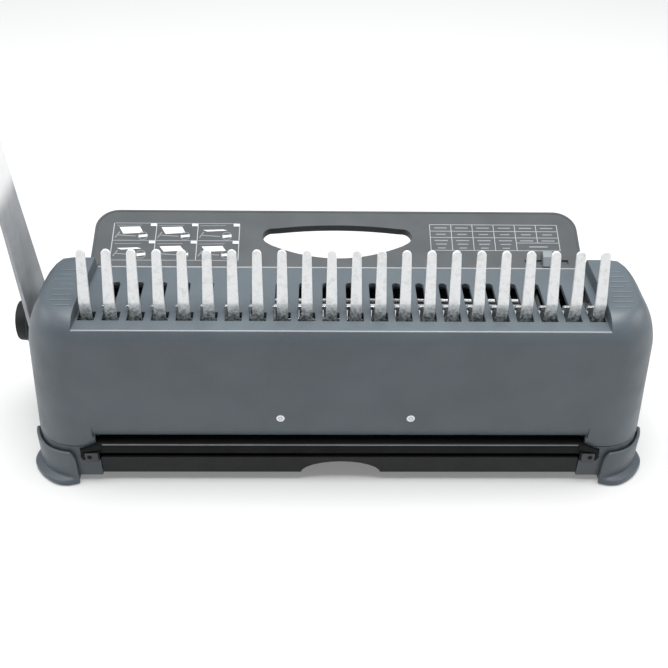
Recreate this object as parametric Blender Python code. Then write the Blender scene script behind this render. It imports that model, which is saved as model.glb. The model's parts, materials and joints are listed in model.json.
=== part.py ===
"""Comb binding machine: a lever-driven desktop punch with a comb opener, a paper table and a chip drawer.

The design values are millimetres in the machine's own frame: X to the right as seen from the rear, Y from
the rear wall towards the user, Z up from the desk. X = 0 is the middle of the comb and Y = 0 is the row of
fixed fingers. Meshes are made in metres, and one empty, which centres the footprint, carries them all.
"""

import math

import bmesh
import bpy
from mathutils import Matrix, Vector

MM = 0.001

# Comb row
COMB_PITCH = 14.2875
FINGER_COUNT = 22
PUNCH_COUNT = 21
TABLE_H = 118.6
TABLE_X = (-156.9, 155.2)

# Casing
SEAM_H = 30.0
TOP_H = 126.7
BASE_HALF = 193.85
END_DRAFT = 0.0695
END_ROUND_H = 96.9
END_ROUND_X = 12.0
END_ROUND_POWER = 1.7
SHOULDER_H = 109.9
EDGE_R = 16.5
REAR_Y = -16.9
FRONT_Y = 111.0
FRONT_BREAK_H = 66.0
FRONT_TOP_Y = 53.5
FRONT_TOP_H = 118.0
FRONT_EDGE_R = 3.0
REAR_CORNER_R = 27.6
FRONT_CORNER_R = 24.0
WALL = 2.6
BASE_H = 5.0
GAP = 0.3

# Drive
SHAFT_Y = 58.0
SHAFT_H = 73.0
SHAFT_R = 6.0
LEVER_STROKE = math.radians(90.0)
LEVER_LEAN = math.radians(10.0)
LEVER_LENGTH = 255.0
GRIP_START = 162.0
LEVER_X = -198.2
LEVER_T = 2.4
KNOB_X = -211.0
CRANK_R = 17.0
CRANK_PIN_R = 3.0
RACK_X = 157.25
PUNCH_STROKE = 10.0
CAM_X = 138.0

# Punching tools
DIE_H = 35.0
DIE_T = 4.0
PAPER_GAP = 3.0
COMB_PUNCH_Y = 66.0
HOLE_PUNCH_X = (-37.7, 42.3)
HOLE_PUNCH_Y = 8.0
CARRIER_H = 55.0
CARRIER_T = 3.5

# Rear slot flap and drawer
FLAP_HALF = 152.3
FLAP_PIVOT_Y = -17.5
FLAP_PIVOT_H = 22.6
FLAP_TOP_H = 33.6
BRACKET_X = (152.6, 160.8)
BRACKET_H = (18.6, 26.2)
EYE_X = (161.2, 163.2)
EYE_R = 1.9
SLOT_TOP_H = 38.5
DRAWER_HALF = 151.7
DRAWER_H = (7.3, 20.5)

# Paper table
LID_PIVOT_Y = 118.0
LID_PIVOT_H = 47.0
LID_TILT = math.radians(22.0)
LID_HALF = 184.0
LID_REACH = 81.5
LID_N = (-0.5, 2.5)
HANDLE_LIP = 1.8
HANDLE_LIP_N = -4.5
GUIDE_X = 157.0
GUIDE_HALF = 3.6
GUIDE_TRAVEL = 12.0
GROOVE_FLOOR = 0.9

# Corner shoes
SHOE_REACH = 7.8
SHOE_END_REACH = 3.6
SHOE_SETBACK = 0.8
SHOE_STATIONS = (0, 0.01, 0.03, 0.06, 0.1, 0.2, 0.3, 0.4, 0.5, 0.6, 0.7, 0.8, 0.9, 0.94, 0.97, 0.99, 1)

FINGER_XS = [(i - (FINGER_COUNT - 1) / 2) * COMB_PITCH for i in range(FINGER_COUNT)]
PUNCH_XS = [(i - (PUNCH_COUNT - 1) / 2) * COMB_PITCH for i in range(PUNCH_COUNT)]


def shoe_turn(share, corner_r):
    """The angle round a corner, from the long wall's side (share 0) to the short wall's (share 1)."""
    first = SHOE_SETBACK / corner_r
    return first + (math.pi / 2 - 2 * first) * share


def shoe_reach(share):
    """Distance from the wall to the flange's edge, drawn in at both ends."""
    inward = min(1.0, (0.5 - abs(share - 0.5)) / 0.3)
    return SHOE_END_REACH + (SHOE_REACH - SHOE_END_REACH) * math.sin(math.pi / 2 * inward)


def shoe_overhang(corner_r):
    """How far a corner's flange stands out past the straight wall."""
    reaches = []
    for share in SHOE_STATIONS:
        reaches.append((corner_r + shoe_reach(share)) * math.sin(shoe_turn(share, corner_r)) - corner_r)
    return max(reaches)


# Footprint, which sets the origin
FOOT_RIGHT = BASE_HALF + max(shoe_overhang(REAR_CORNER_R), shoe_overhang(FRONT_CORNER_R))
FOOT_REAR = REAR_Y - shoe_overhang(REAR_CORNER_R)
FOOT_FRONT = LID_PIVOT_Y + LID_REACH * math.cos(LID_TILT) - LID_N[0] * math.sin(LID_TILT)
CENTRE_X = (FOOT_RIGHT + KNOB_X) / 2
CENTRE_Y = (FOOT_FRONT + FOOT_REAR) / 2


# ---------------------------------------------------------------- tools


def clear_scene():
    for obj in list(bpy.data.objects):
        bpy.data.objects.remove(obj)


def finish(name, colour, roughness, metallic=0.0):
    """A Principled BSDF with the sub-part's own colour, roughness and metallic value."""
    material = bpy.data.materials.new(name)
    material.use_nodes = True
    shader = material.node_tree.nodes["Principled BSDF"]
    shader.inputs["Base Color"].default_value = (*colour, 1.0)
    shader.inputs["Roughness"].default_value = roughness
    shader.inputs["Metallic"].default_value = metallic
    return material


def arc(centre, radius, start, end, steps):
    """Points on an arc from start to end degrees, both ends included."""
    points = []
    for i in range(steps + 1):
        angle = math.radians(start + (end - start) * i / steps)
        points.append((centre[0] + radius * math.cos(angle), centre[1] + radius * math.sin(angle)))
    return points


def circle(centre, radius, steps):
    return arc(centre, radius, 0.0, 360.0, steps)[:-1]


def rectangle(low, high):
    return [(low[0], low[1]), (high[0], low[1]), (high[0], high[1]), (low[0], high[1])]


def lift(plane, a, b, c):
    """A point of a drawing plane ("xy", "xz" or "yz") at the height c above it."""
    if plane == "xy":
        return Vector((a, b, c))
    if plane == "xz":
        return Vector((a, c, b))
    return Vector((c, a, b))


def prism(plane, outline, low, high, holes=()):
    """A bmesh of an outline, with holes, extruded from low to high."""
    bm = bmesh.new()
    edges = []
    for loop in (outline, *holes):
        verts = [bm.verts.new(lift(plane, a, b, low)) for a, b in loop]
        edges += [bm.edges.new((v, verts[i - 1])) for i, v in enumerate(verts)]
    if holes:
        bmesh.ops.triangle_fill(bm, use_beauty=True, edges=edges)
    else:
        bmesh.ops.contextual_create(bm, geom=edges)
    grown = bmesh.ops.extrude_face_region(bm, geom=list(bm.faces))
    moved = [g for g in grown["geom"] if isinstance(g, bmesh.types.BMVert)]
    bmesh.ops.translate(bm, verts=moved, vec=lift(plane, 0, 0, high - low))
    bmesh.ops.recalc_face_normals(bm, faces=list(bm.faces))
    return bm


def block(low, high):
    return prism("xy", rectangle(low, high), low[2], high[2])


def merged(*parts):
    """One bmesh holding several meshes that don't touch."""
    bm = bmesh.new()
    for part in parts:
        mesh = bpy.data.meshes.new("merge")
        part.to_mesh(mesh)
        bm.from_mesh(mesh)
        bpy.data.meshes.remove(mesh)
        part.free()
    return bm


def loft(sections):
    """A closed skin over sections of equal point count, with a flat cap on the first and the last."""
    bm = bmesh.new()
    rings = [[bm.verts.new(p) for p in section] for section in sections]
    for lower, upper in zip(rings, rings[1:]):
        for i in range(len(lower)):
            bm.faces.new((lower[i - 1], lower[i], upper[i], upper[i - 1]))
    bm.faces.new(list(reversed(rings[0])))
    bm.faces.new(rings[-1])
    bmesh.ops.recalc_face_normals(bm, faces=list(bm.faces))
    return bm


def turned(profile, centre, steps):
    """A profile of (x, radius) points turned about the X line through centre (y, z)."""
    bm = bmesh.new()
    rings = []
    for step in range(steps):
        angle = 2 * math.pi * step / steps
        side, up = math.cos(angle), math.sin(angle)
        rings.append([bm.verts.new((x, centre[0] + r * side, centre[1] + r * up)) for x, r in profile])
    for i in range(steps):
        near, far = rings[i - 1], rings[i]
        for j in range(len(profile)):
            bm.faces.new((near[j - 1], near[j], far[j], far[j - 1]))
    bmesh.ops.recalc_face_normals(bm, faces=list(bm.faces))
    return bm


def rod(centre, radius, low, high, steps):
    return prism("yz", circle(centre, radius, steps), low, high)


def node(name, bm, material, pivot=(0, 0, 0), smooth=False):
    """Makes the object, with its own origin at pivot."""
    for vert in bm.verts:
        vert.co = (vert.co - Vector(pivot)) * MM
    mesh = bpy.data.meshes.new(name)
    bm.to_mesh(mesh)
    bm.free()
    if material:
        mesh.materials.append(material)
    if smooth:
        mesh.shade_smooth()
        mesh.set_sharp_from_angle(angle=math.radians(32))
    obj = bpy.data.objects.new(name, mesh)
    bpy.context.scene.collection.objects.link(obj)
    obj.location = Vector(pivot) * MM
    obj.parent = MACHINE
    return obj


def combine(obj, bm, operation):
    """Adds a Boolean whose helper stays out of the render."""
    helper = node(f"{obj.name}.{operation.lower()}", bm, None)
    helper.hide_render = True
    helper.display_type = "WIRE"
    boolean = obj.modifiers.new(operation.title(), "BOOLEAN")
    boolean.operation = operation
    boolean.object = helper


# ---------------------------------------------------------------- casing


def casing_ring(half, rear, front, rear_r, front_r, height):
    """A rounded rectangle in plan, counterclockwise."""
    steps = 5
    points = arc((half - rear_r, rear + rear_r), rear_r, -90, 0, steps)
    points += arc((half - front_r, front - front_r), front_r, 0, 90, steps)
    points += arc((-half + front_r, front - front_r), front_r, 90, 180, steps)
    points += arc((-half + rear_r, rear + rear_r), rear_r, 180, 270, steps)
    return [Vector((x, y, height)) for x, y in points]


def half_width(height):
    """Half the casing's length: a straight draft, then the soft rounding of the end blocks."""
    share = min(1.0, max(0.0, (height - END_ROUND_H) / (TOP_H - END_ROUND_H)))
    rounding = END_ROUND_X * (1 - (1 - share**END_ROUND_POWER) ** (1 / END_ROUND_POWER))
    return BASE_HALF - END_DRAFT * (height - SEAM_H) - rounding


def front_line(height):
    """The front face: upright at the paper slot, then sloping back to the comb table."""
    if height <= FRONT_BREAK_H:
        return FRONT_Y
    share = min(1.0, (height - FRONT_BREAK_H) / (FRONT_TOP_H - FRONT_BREAK_H))
    return FRONT_Y + (FRONT_TOP_Y - FRONT_Y) * share


def side_rings(heights):
    """Rings of the casing's side, below the rounded upper edge."""
    rings = []
    for height in heights:
        front = front_line(height)
        rings.append(casing_ring(half_width(height), REAR_Y, front, REAR_CORNER_R, FRONT_CORNER_R, height))
    return rings


def top_rings():
    """Rings of the rounded upper edge."""
    rings = []
    for degrees in (18, 36, 54, 72, 90):
        angle = math.radians(degrees)
        height = SHOULDER_H + (TOP_H - SHOULDER_H) * math.sin(angle)
        inset = EDGE_R * (1 - math.cos(angle))
        front = front_line(height) - FRONT_EDGE_R * (1 - math.cos(angle))
        radii = (REAR_CORNER_R - inset, FRONT_CORNER_R - inset)
        rings.append(casing_ring(half_width(height), REAR_Y + inset, front, *radii, height))
    return rings


def make_upper_housing():
    seam = SEAM_H + GAP
    outer = side_rings((seam, FRONT_BREAK_H, 90.0, END_ROUND_H, 103.5, SHOULDER_H)) + top_rings()
    grey = finish("housing_plastic", (0.10, 0.125, 0.14), 0.5)
    obj = node("upper_housing", loft(outer), grey, smooth=True)
    slope_wall = 3.5
    inner_r = (REAR_CORNER_R - WALL, FRONT_CORNER_R - WALL)
    hollow = []
    for height, front_wall in ((seam - 5, WALL), (FRONT_BREAK_H - 2, WALL), (106.0, slope_wall)):
        half = half_width(height) - WALL
        hollow.append(casing_ring(half, REAR_Y + WALL, front_line(height) - front_wall, *inner_r, height))
    roof_h = TABLE_H - 3
    hollow.append(casing_ring(half_width(roof_h) - 6, REAR_Y + 6.5, 51.0, 20.0, 16.0, roof_h))
    combine(obj, loft(hollow), "DIFFERENCE")
    combine(obj, table_recess(), "DIFFERENCE")
    slots = [finger_mouth(FINGER_XS[0])] + [comb_slot(x) for x in FINGER_XS[1:]]
    combine(obj, merged(*slots), "DIFFERENCE")
    rear_slot = block((-153.2, -30, SEAM_H - 2), (153.2, -10, SLOT_TOP_H))
    paper_slot = block((-160, 100, 44.5), (160, 120, 56))
    boss_hole = rod((SHAFT_Y, SHAFT_H), 17.4, -205, -180, 24)
    combine(obj, merged(rear_slot, paper_slot, boss_hole), "DIFFERENCE")
    combine(obj, slot_lead_in(), "DIFFERENCE")


def slot_lead_in():
    """The shallow cove that leads a sheet down the rear wall into the slot."""
    high, depth, steps = 47.5, 1.9, 6
    outline = [(REAR_Y - 8, SLOT_TOP_H - 1.5), (REAR_Y + depth, SLOT_TOP_H - 1.5)]
    for i in range(steps + 1):
        share = i / steps
        outline.append((REAR_Y + depth * (1 - share) ** 2 - 0.02, SLOT_TOP_H + (high - SLOT_TOP_H) * share))
    outline.append((REAR_Y - 8, high))
    return prism("yz", outline, -154.6, 154.6)


def table_recess():
    """The room over the comb table, a little narrower towards the user."""
    near, turn, far = REAR_Y - 40, REAR_Y, 51.0
    left, right = TABLE_X[0] + 3.4, TABLE_X[1] - 1.5
    outline = [(TABLE_X[0], turn), (TABLE_X[0], near), (TABLE_X[1], near), (TABLE_X[1], turn)]
    outline += [(right, far), (right, far + 40), (left, far + 40), (left, far)]
    return prism("xy", outline, TABLE_H, TABLE_H + 35)


def finger_mouth(x):
    """The opening of the first finger, which has no hook beside it."""
    return block((x - 5.1, -4.0, TABLE_H - 6), (x + 4.6, 4.6, TABLE_H + 4))


def comb_slot(x):
    """The wide mouth of a fixed finger, and the narrow round-ended track of its hook."""
    outline = [(x - 5.1, -4.0), (x + 4.6, -4.0), (x + 4.6, 4.6), (x - 0.3, 4.6)]
    outline += arc((x - 2.7, 33.6), 2.4, 0, 180, 4)
    return prism("xy", outline, TABLE_H - 6, TABLE_H + 4)


def make_base_housing():
    outer = []
    for height in (BASE_H, SEAM_H):
        outer.append(casing_ring(BASE_HALF, REAR_Y, FRONT_Y, REAR_CORNER_R, FRONT_CORNER_R, height))
    obj = node("base_housing", loft(outer), finish("base_plastic", (0.09, 0.11, 0.125), 0.55), smooth=True)
    inner_r = (REAR_CORNER_R - WALL, FRONT_CORNER_R - WALL)
    inner = []
    for height in (BASE_H + 2, SEAM_H + 5):
        inner.append(casing_ring(BASE_HALF - WALL, REAR_Y + WALL, FRONT_Y - WALL, *inner_r, height))
    combine(obj, loft(inner), "DIFFERENCE")
    bay = DRAWER_HALF + 0.4
    notch = EYE_X[1] + 0.4
    sill, lintel = BRACKET_H[0] - GAP, SEAM_H - 1.6
    opening = [(bay, 0.0), (bay, sill), (notch, sill), (notch, lintel), (153.2, lintel), (153.2, 40.0)]
    opening += [(-x, height) for x, height in reversed(opening)]
    combine(obj, prism("xz", opening, -30, -10), "DIFFERENCE")
    combine(obj, block((-31, -30, 0), (31, 10, 20)), "DIFFERENCE")
    combine(obj, merged(hinge_ear(166.2, 170.2), hinge_ear(-170.2, -166.2)), "UNION")


def hinge_ear(low, high):
    """An ear on the base's front wall that holds the table's hinge rod."""
    outline = [(108.5, 29.5), (108.5, 10), (115, 10), (122.6, 38)]
    outline += arc((LID_PIVOT_Y, LID_PIVOT_H), 4.6, 0, 180, 8)
    outline += [(111.5, 42), (111.5, 29.5)]
    hole = circle((LID_PIVOT_Y, LID_PIVOT_H), 2.5, 12)
    return prism("yz", outline, low, high, [hole])


def shoe_top(share):
    """Height of a shoe's upper edge: level, with both ends rounded down."""
    end_h, top_h, dip, corner = 17.0, 26.4, 1.4, 0.1
    from_end = 0.5 - abs(share - 0.5)
    top = top_h - dip * 2 * from_end
    if from_end < corner:
        top = end_h + (top - end_h) * math.sqrt(1 - (1 - from_end / corner) ** 2)
    return top


def make_shoe(name, side_x, side_y, material):
    """A grey corner shoe: a skirt round the corner with a flange, and a sole under the base."""
    rear = side_y < 0
    corner_r = REAR_CORNER_R if rear else FRONT_CORNER_R
    wall_y = REAR_Y if rear else FRONT_Y
    centre = Vector((side_x * (BASE_HALF - corner_r), wall_y - side_y * corner_r))
    sections = []
    for share in SHOE_STATIONS:
        turn = shoe_turn(share, corner_r)
        outward = Vector((math.sin(turn), math.cos(turn)))
        top, reach = shoe_top(share), shoe_reach(share)
        profile = [(-13, 2.6), (1.8, 2.6), (1.8, 0.6), (reach, 0.6), (reach, 3.8), (reach - 0.5, 4.6)]
        profile += [(2.9, 5.4), (2.9, top - 0.8), (2.1, top), (0.8, top), (0.8, 4.6), (-13, 4.6)]
        section = []
        for offset, height in profile:
            spot = outward * (corner_r + offset)
            section.append(Vector((centre.x + side_x * spot.x, centre.y + side_y * spot.y, height)))
        sections.append(section)
    node(name, loft(sections), material, smooth=True)
    pad_r = (corner_r - 5.9) / math.sqrt(2)
    pad = (centre.x + side_x * pad_r, centre.y + side_y * pad_r)
    pad_name = name.replace("corner_shoe", "foot_pad")
    rubber = finish(pad_name, (0.02, 0.02, 0.02), 0.9)
    node(pad_name, prism("xy", circle(pad, 6.6, 20), 0.0, 2.3), rubber, pivot=(*pad, 0), smooth=True)


def make_shoes():
    for end, side_x in (("lever_side", -1), ("plain_side", 1)):
        for edge, side_y in (("rear", -1), ("front", 1)):
            name = f"corner_shoe_{edge}_{end}"
            make_shoe(name, side_x, side_y, finish(name, (0.11, 0.135, 0.15), 0.5))


# ---------------------------------------------------------------- frame and punching tools


def punch_openings(clearance):
    holes = []
    for x in PUNCH_XS:
        low = (x - 4 - clearance, COMB_PUNCH_Y - 1.5 - clearance)
        high = (x + 4 + clearance, COMB_PUNCH_Y + 1.5 + clearance)
        holes.append(rectangle(low, high))
    for x in HOLE_PUNCH_X:
        holes.append(circle((x, HOLE_PUNCH_Y), 2.75 + clearance, 14))
    return holes


def make_side_frames():
    outline = [(-8, 7.4), (96, 7.4), (96, 70), (66, 96), (-8, 96)]
    hole = circle((SHAFT_Y, SHAFT_H), 10.0, 20)
    for end, low in (("lever_side", -172.5), ("plain_side", 170.0)):
        steel = finish(f"side_frame_{end}", (0.55, 0.56, 0.57), 0.4, 1.0)
        node(f"side_frame_{end}", prism("yz", outline, low, low + 2.5, [hole]), steel)


def make_bushes():
    for end, side in (("lever_side", -1), ("plain_side", 1)):
        profile = [(168.5, 6.3), (168.5, 9.7), (172.8, 9.7), (172.8, 12.5), (175.0, 12.5), (175.0, 6.3)]
        profile = [(side * x, r) for x, r in profile]
        brass = finish(f"shaft_bush_{end}", (0.70, 0.52, 0.25), 0.35, 1.0)
        node(f"shaft_bush_{end}", turned(profile, (SHAFT_Y, SHAFT_H), 20), brass, smooth=True)


def make_die_plate():
    steel = finish("die_plate", (0.50, 0.51, 0.52), 0.35, 1.0)
    flat = prism("xy", rectangle((-169.7, -8), (169.7, 84)), DIE_H - DIE_T, DIE_H, punch_openings(GAP))
    obj = node("die_plate", flat, steel)
    ramp = [(80, DIE_H - 2.5), (84, DIE_H), (107.8, 44.5), (107.8, 42.0), (85, 32.5), (80, 32.0)]
    combine(obj, prism("yz", ramp, -158, 158), "UNION")


def make_guide_plate():
    steel = finish("guide_plate", (0.52, 0.53, 0.54), 0.35, 1.0)
    low = DIE_H + PAPER_GAP
    flat = prism("xy", rectangle((-169.7, -8), (169.7, 80)), low, low + DIE_T, punch_openings(GAP))
    obj = node("guide_plate", flat, steel)
    stop_rear = HOLE_PUNCH_Y + 12
    stop_front = COMB_PUNCH_Y - 6
    combine(obj, block((-160, stop_rear, DIE_H + GAP), (160, stop_front, low + 1)), "UNION")


def make_punches():
    low = DIE_H + PAPER_GAP + 0.4
    high = CARRIER_H - GAP
    for number, x in enumerate(PUNCH_XS, 1):
        steel = finish(f"comb_punch_{number:02d}", (0.62, 0.63, 0.65), 0.25, 1.0)
        pin = block((x - 4, COMB_PUNCH_Y - 1.5, low), (x + 4, COMB_PUNCH_Y + 1.5, high))
        node(f"comb_punch_{number:02d}", pin, steel, pivot=(x, COMB_PUNCH_Y, high))
    for end, x in zip(("lever_side", "plain_side"), HOLE_PUNCH_X):
        spot = (x, HOLE_PUNCH_Y)
        steel = finish(f"hole_punch_{end}", (0.62, 0.63, 0.65), 0.25, 1.0)
        pin = prism("xy", circle(spot, 2.75, 14), low, high)
        node(f"hole_punch_{end}", pin, steel, pivot=(*spot, high), smooth=True)


def make_carrier():
    steel = finish("punch_carrier", (0.45, 0.46, 0.47), 0.4, 1.0)
    plate = block((-150, 0, CARRIER_H), (150, 76, CARRIER_H + CARRIER_T))
    node("punch_carrier", plate, steel, pivot=(0, COMB_PUNCH_Y, CARRIER_H))


def make_return_springs():
    """Extension springs between the carrier and the finger plate's flange."""
    low = CARRIER_H + CARRIER_T + GAP
    high = 92.0 - GAP
    turns, per_turn, sides = 7, 10, 5
    wire, coil_r = 0.7, 4.0
    rise = (high - low - 2 * wire) / (turns * per_turn)
    for end, side in (("lever_side", -1), ("plain_side", 1)):
        sections = []
        for i in range(turns * per_turn + 1):
            angle = 2 * math.pi * i / per_turn
            outward = Vector((math.cos(angle), math.sin(angle), 0))
            centre = Vector((side * 105, 32, low + wire + rise * i)) + outward * coil_r
            section = []
            for j in range(sides):
                tilt = 2 * math.pi * j / sides
                up = Vector((0, 0, wire * math.sin(tilt)))
                section.append(centre + outward * wire * math.cos(tilt) + up)
            sections.append(section)
        steel = finish(f"return_spring_{end}", (0.6, 0.6, 0.62), 0.3, 1.0)
        node(f"return_spring_{end}", loft(sections), steel, pivot=(side * 105, 32, high), smooth=True)


# ---------------------------------------------------------------- comb opener


def make_finger_plate():
    """The row of fixed fingers: one bent sheet, upright at the root and leaning to the user above."""
    bend_h = TABLE_H + 10
    lean = math.radians(17.5)
    flat_top = bend_h + 31.5
    outline = [(-167.5, 92), (167.5, 92), (167.5, 112)]
    for x in reversed(FINGER_XS):
        outline += [(x + 3.25, 112), (x + 3.25, bend_h)]
        outline += arc((x, flat_top - 2.6), 2.6, 0, 180, 6)
        outline += [(x - 3.25, bend_h), (x - 3.25, 112)]
    outline.append((-167.5, 112))
    bm = prism("xz", outline, -1.0, 1.0)
    everything = list(bm.verts) + list(bm.edges) + list(bm.faces)
    bmesh.ops.bisect_plane(bm, geom=everything, plane_co=(0, 0, bend_h), plane_no=(0, 0, 1))
    for vert in bm.verts:
        rise = vert.co.z - bend_h
        if rise > 0:
            vert.co.y += rise * math.sin(lean)
            vert.co.z = bend_h + rise * math.cos(lean)
    obj = node("finger_plate", bm, finish("finger_plate", (0.72, 0.73, 0.74), 0.35, 1.0))
    combine(obj, block((-150, 0.2, 92.0), (150, 42, 94.0)), "UNION")


def make_opener_rack():
    """The sliding row of hooks, with a forked leg at each end for the crank pins."""
    outline = [(-160, 112), (160, 112), (160, 114)]
    for x in reversed(FINGER_XS[1:]):
        outline += [(x - 1.0, 114), (x - 1.0, 120.4), (x + 0.6, 120.9), (x + 0.6, 122.4)]
        outline += [(x - 0.2, 123.1), (x - 5.3, 123.1), (x - 6.1, 122.4), (x - 6.1, 120.9)]
        outline += [(x - 4.5, 120.4), (x - 4.5, 114)]
    outline.append((-160, 114))
    steel = finish("opener_rack", (0.70, 0.71, 0.72), 0.35, 1.0)
    obj = node("opener_rack", prism("xz", outline, 4.2, 6.2), steel, pivot=(0, 5.2, 113))
    combine(obj, block((-154, 5.2, 111.9), (154, 14.5, 113.9)), "UNION")
    combine(obj, merged(rack_leg(-RACK_X - 1.75), rack_leg(RACK_X - 1.75)), "UNION")


def rack_leg(low):
    swing = CRANK_R * math.sin(LEVER_STROKE / 2)
    pin_y = SHAFT_Y - swing
    slot = CRANK_PIN_R + 0.85
    outline = [(pin_y - slot - 2.8, 82), (pin_y - slot, 82)]
    outline += arc((pin_y, 90), slot, 180, 0, 8)
    outline += [(pin_y + slot, 82), (pin_y + slot + 2.6, 82), (pin_y + slot + 2.6, 90.5)]
    outline += [(pin_y + 3.6, 95.0), (44, 99), (25, 111), (25, 113.8), (5.0, 113.8), (5.0, 112.1)]
    outline += [(36, 97), (pin_y - slot - 2.8, 93)]
    return prism("yz", outline, low, low + 3.5)


def make_cranks():
    """Cranks on the drive shaft; each pin starts behind the shaft's top and ends in front of it."""
    start = 90 + math.degrees(LEVER_STROKE) / 2
    pin = arc((SHAFT_Y, SHAFT_H), CRANK_R, start, start, 1)[0]
    outline = arc((SHAFT_Y, SHAFT_H), 11.0, start + 70, start + 290, 14)
    outline += arc(pin, 5.5, start - 80, start + 80, 8)
    hole = circle((SHAFT_Y, SHAFT_H), SHAFT_R + GAP, 16)
    for end, side in (("lever_side", -1), ("plain_side", 1)):
        low, high = sorted((side * 161.0, side * 165.0))
        steel = finish(f"opener_crank_{end}", (0.5, 0.5, 0.52), 0.4, 1.0)
        plate = prism("yz", outline, low, high, [hole])
        obj = node(f"opener_crank_{end}", plate, steel, pivot=(0, SHAFT_Y, SHAFT_H))
        low, high = sorted((side * 154.8, side * 162.0))
        combine(obj, rod(pin, CRANK_PIN_R, low, high, 14), "UNION")


def make_cams():
    """Flat-follower cams: an involute flank lowers the carrier in proportion to the lever's angle."""
    rate = PUNCH_STROKE / LEVER_STROKE
    reach = SHAFT_H - CARRIER_H - CARRIER_T - 0.35
    outline = []
    steps = 14
    for i in range(steps + 1):
        angle = -0.12 + (LEVER_STROKE + 0.2) * i / steps
        out = Vector((math.sin(angle), -math.cos(angle)))
        along = Vector((math.cos(angle), math.sin(angle)))
        spot = out * (reach + rate * min(angle, LEVER_STROKE)) + along * rate
        outline.append((SHAFT_Y + spot.x, SHAFT_H + spot.y))
    outline += arc((SHAFT_Y, SHAFT_H), 10.5, 60, 235, 10)
    hole = circle((SHAFT_Y, SHAFT_H), SHAFT_R + GAP, 16)
    for end, side in (("lever_side", -1), ("plain_side", 1)):
        steel = finish(f"punch_cam_{end}", (0.5, 0.5, 0.52), 0.35, 1.0)
        low = side * CAM_X - 4
        plate = prism("yz", outline, low, low + 8, [hole])
        node(f"punch_cam_{end}", plate, steel, pivot=(0, SHAFT_Y, SHAFT_H))


def make_shaft():
    steel = finish("drive_shaft", (0.6, 0.6, 0.62), 0.3, 1.0)
    shaft = rod((SHAFT_Y, SHAFT_H), SHAFT_R, LEVER_X - 1.5, 177.0, 20)
    node("drive_shaft", shaft, steel, pivot=(0, SHAFT_Y, SHAFT_H), smooth=True)


# ---------------------------------------------------------------- lever


def leaning(bm):
    """Tilts a piece drawn upright over the shaft by the lever's resting lean, back towards the rear."""
    centre = Vector((0, SHAFT_Y, SHAFT_H))
    bmesh.ops.rotate(bm, verts=bm.verts, cent=centre, matrix=Matrix.Rotation(LEVER_LEAN, 3, "X"))
    return bm


def lever_half_width(along):
    """Half the plate's width: broad at the shaft, narrowing up to the grip."""
    return 21.5 - 5.5 * min(1.0, along / 90) - 4.0 * min(1.0, max(0.0, along - 90) / 120)


def make_lever():
    outline = arc((SHAFT_Y, SHAFT_H), 21.5, 180, 360, 14)
    for along in (90, 210):
        outline.append((SHAFT_Y + lever_half_width(along), SHAFT_H + along))
    outline += arc((SHAFT_Y, SHAFT_H + LEVER_LENGTH - 12), 12.0, 0, 180, 8)
    for along in (210, 90):
        outline.append((SHAFT_Y - lever_half_width(along), SHAFT_H + along))
    hole = circle((SHAFT_Y, SHAFT_H), SHAFT_R + GAP, 16)
    plate = leaning(prism("yz", outline, LEVER_X, LEVER_X + LEVER_T, [hole]))
    pivot = (0, SHAFT_Y, SHAFT_H)
    node("lever_arm", plate, finish("lever_arm", (0.52, 0.53, 0.55), 0.35, 1.0), pivot=pivot)

    inner = LEVER_X + LEVER_T + GAP
    profile = [(inner, 6.3), (inner, 17.0), (inner + 5.5, 17.0), (inner + 5.5, 6.3)]
    black = finish("lever_collar", (0.015, 0.015, 0.016), 0.45)
    node("lever_collar", turned(profile, (SHAFT_Y, SHAFT_H), 28), black, pivot=pivot, smooth=True)

    outer = LEVER_X - GAP
    face = outer - 4.0
    profile = [(outer, 6.4), (outer, 18.2), (face, 18.2), (face - 0.3, 13.6), (KNOB_X + 1.2, 13.2)]
    profile += [(KNOB_X, 12.0), (KNOB_X, 3.0), (outer - 1.8, 3.0), (outer - 1.8, 6.4)]
    black = finish("lever_knob", (0.015, 0.015, 0.016), 0.4)
    node("lever_knob", turned(profile, (SHAFT_Y, SHAFT_H), 28), black, pivot=pivot, smooth=True)


def make_grip():
    """A moulded sleeve, open below, over the lever's upper end."""

    def oval(half_x, half_y, height):
        points = []
        for i in range(20):
            angle = 2 * math.pi * i / 20
            side, up = math.cos(angle), math.sin(angle)
            x = half_x * math.copysign(abs(side) ** 0.7, side)
            y = half_y * math.copysign(abs(up) ** 0.7, up)
            points.append(Vector((LEVER_X + LEVER_T / 2 + x, SHAFT_Y + y, SHAFT_H + height)))
        return points

    start, end = GRIP_START, LEVER_LENGTH + 7
    stations = [(0, 8.6, 17.5), (3, 9.8, 18.6), (30, 10.4, 18.0), (80, 10.8, 18.8), (100, 9.4, 16.5)]
    stations.append((104, 6.0, 12.0))
    scale = (end - start) / 104
    body = loft([oval(half_x, half_y, start + rise * scale) for rise, half_x, half_y in stations])
    pivot = (0, SHAFT_Y, SHAFT_H)
    black = finish("lever_grip", (0.02, 0.02, 0.021), 0.6)
    obj = node("lever_grip", leaning(body), black, pivot=pivot, smooth=True)
    low, high = LEVER_X - 0.4, LEVER_X + LEVER_T + 0.4
    reach = lever_half_width(start) + 0.5
    bottom, top = SHAFT_H + start - 5, SHAFT_H + LEVER_LENGTH + 0.5
    pocket = block((low, SHAFT_Y - reach, bottom), (high, SHAFT_Y + reach, top))
    combine(obj, leaning(pocket), "DIFFERENCE")


# ---------------------------------------------------------------- rear flap, drawer


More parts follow.
